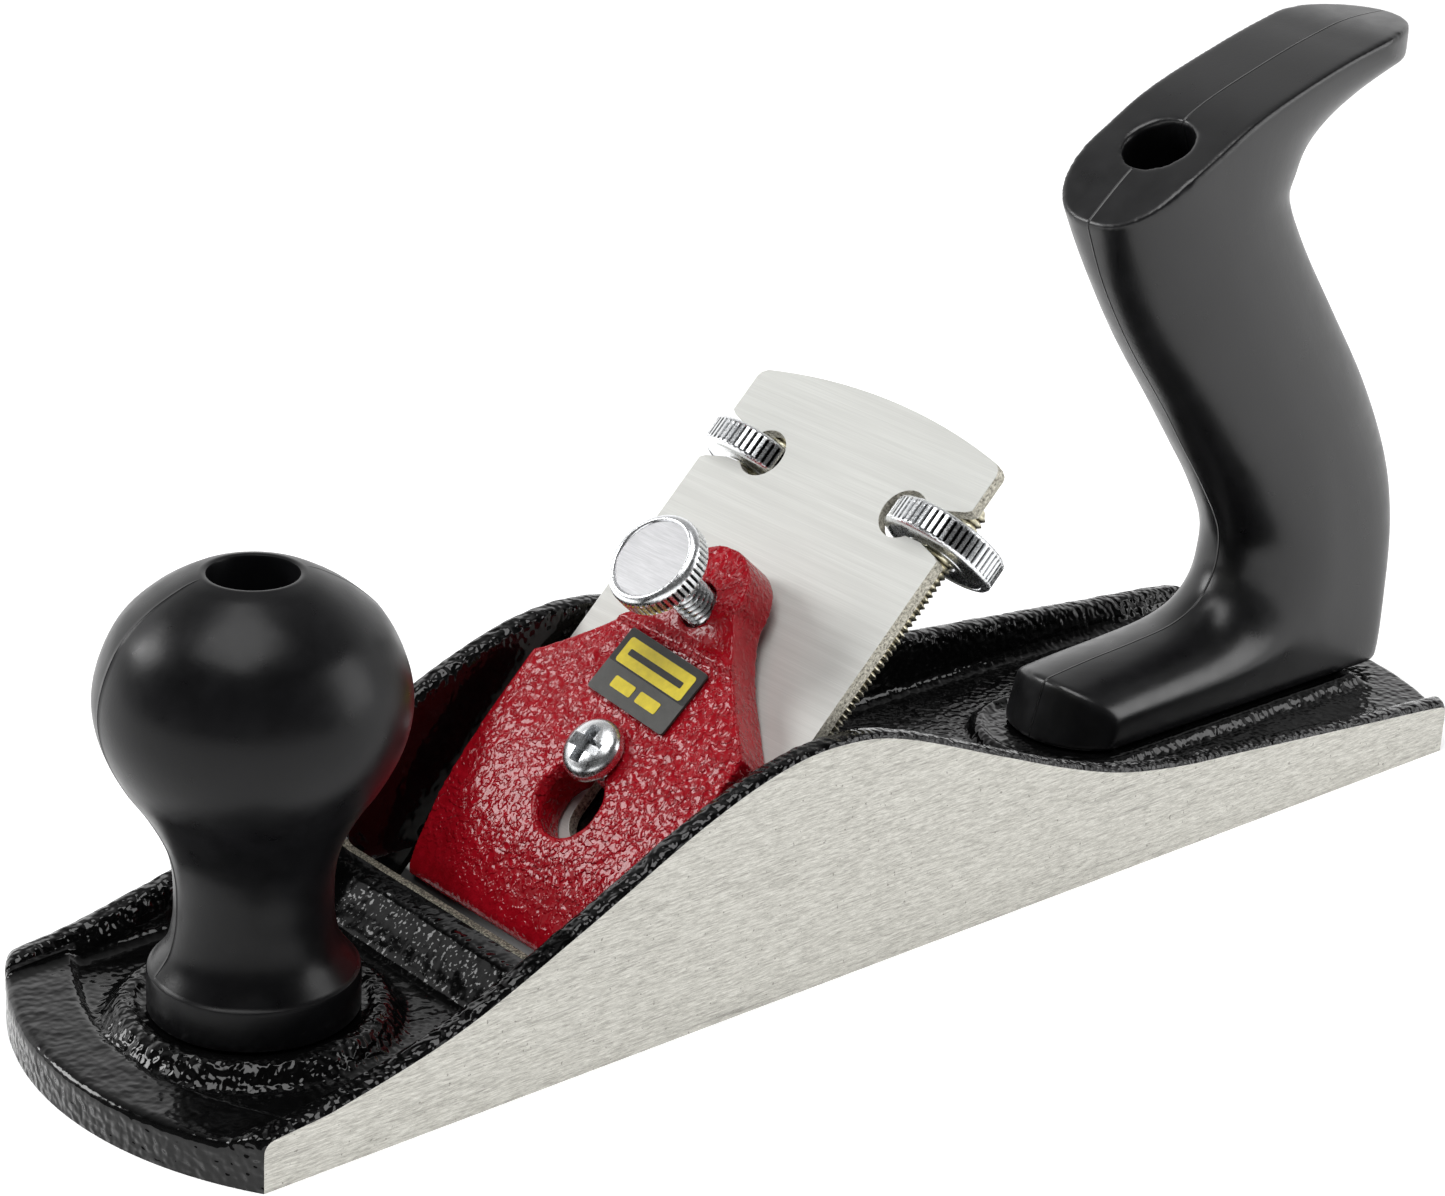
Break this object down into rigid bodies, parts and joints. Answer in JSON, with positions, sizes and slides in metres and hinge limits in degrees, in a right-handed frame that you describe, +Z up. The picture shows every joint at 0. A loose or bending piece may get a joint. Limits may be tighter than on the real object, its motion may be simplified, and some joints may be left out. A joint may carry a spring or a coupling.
{
  "type": "hand plane",
  "caption": "Metal bench smoothing plane with a sloping iron, a red lever cap with thumbscrew, knurled depth nuts, and a black moulded knob and handle.",
  "frame": {"origin": "middle of the sole: half way along the length, on the centre plane, in the plane of the sole", "axes": "+X from toe to heel, +Y to the left cheek seen from the heel looking to the toe, +Z up"},
  "size_m": [0.245, 0.0608, 0.114],
  "materials": {
    "black_enamel": "gloss black enamel on rough cast iron",
    "ground_iron": "lengthwise surface-ground cheeks and sole",
    "red_enamel": "gloss red enamel, slightly pebbled",
    "black_plastic": "satin moulded plastic",
    "blade_steel": "surface-ground tool steel",
    "bright_zinc": "bright zinc plate",
    "yellow_zinc": "yellow passivated zinc plate",
    "label_film": "printed film, black and yellow"
  },
  "bodies": {
    "plane_body": {"body_casting": "black_enamel", "frog": "black_enamel", "frog_washer_left": "bright_zinc", "frog_washer_right": "bright_zinc", "frog_screw_left": "bright_zinc", "frog_screw_right": "bright_zinc", "adjuster_stud_left": "yellow_zinc", "adjuster_stud_right": "yellow_zinc", "knob": "black_plastic", "knob_washer": "bright_zinc", "knob_screw": "bright_zinc", "handle": "black_plastic", "handle_washer": "bright_zinc", "handle_screw": "bright_zinc"},
    "iron": {"blade": "blade_steel"},
    "nut_left": {"adjuster_nut_left": "bright_zinc"},
    "nut_right": {"adjuster_nut_right": "bright_zinc"},
    "cap": {"lever_cap": "red_enamel", "cap_label": "label_film"},
    "thumbscrew": {"cap_thumbscrew": "bright_zinc"},
    "cap_screw": {"lever_cap_screw": "bright_zinc"}
  },
  "joints": [
    {"name": "blade_depth", "type": "slide", "parent": "plane_body", "child": "iron", "axis": [0.7071, 0, 0.7071], "range_m": [-0.001, 0.003]},
    {"name": "adjuster_nut_left_turn", "type": "hinge", "parent": "iron", "child": "nut_left", "pos_m": [0.00739, 0.0195, 0.0553], "axis": [0.7071, 0, 0.7071], "range_deg": [-361, 1081]},
    {"name": "adjuster_nut_right_turn", "type": "hinge", "parent": "iron", "child": "nut_right", "pos_m": [0.00739, -0.0195, 0.0553], "axis": [0.7071, 0, 0.7071], "range_deg": [-361, 1081]},
    {"name": "lever_cap_slide", "type": "slide", "parent": "plane_body", "child": "cap", "axis": [0.7071, 0, 0.7071], "range_m": [0, 0.0077]},
    {"name": "thumbscrew_turn", "type": "hinge", "parent": "cap", "child": "thumbscrew", "pos_m": [-0.01488, 0, 0.04052], "axis": [-0.7071, 0, 0.7071], "range_deg": [0, 720]},
    {"name": "cap_screw_turn", "type": "hinge", "parent": "plane_body", "child": "cap_screw", "pos_m": [-0.03263, 0, 0.02277], "axis": [-0.7071, 0, 0.7071], "range_deg": [-180, 360]}
  ],
  "couplings": [
    {"joint": "adjuster_nut_left_turn", "follows": "blade_depth", "rad_per_m": 6283.2},
    {"joint": "adjuster_nut_right_turn", "follows": "blade_depth", "rad_per_m": 6283.2}
  ]
}
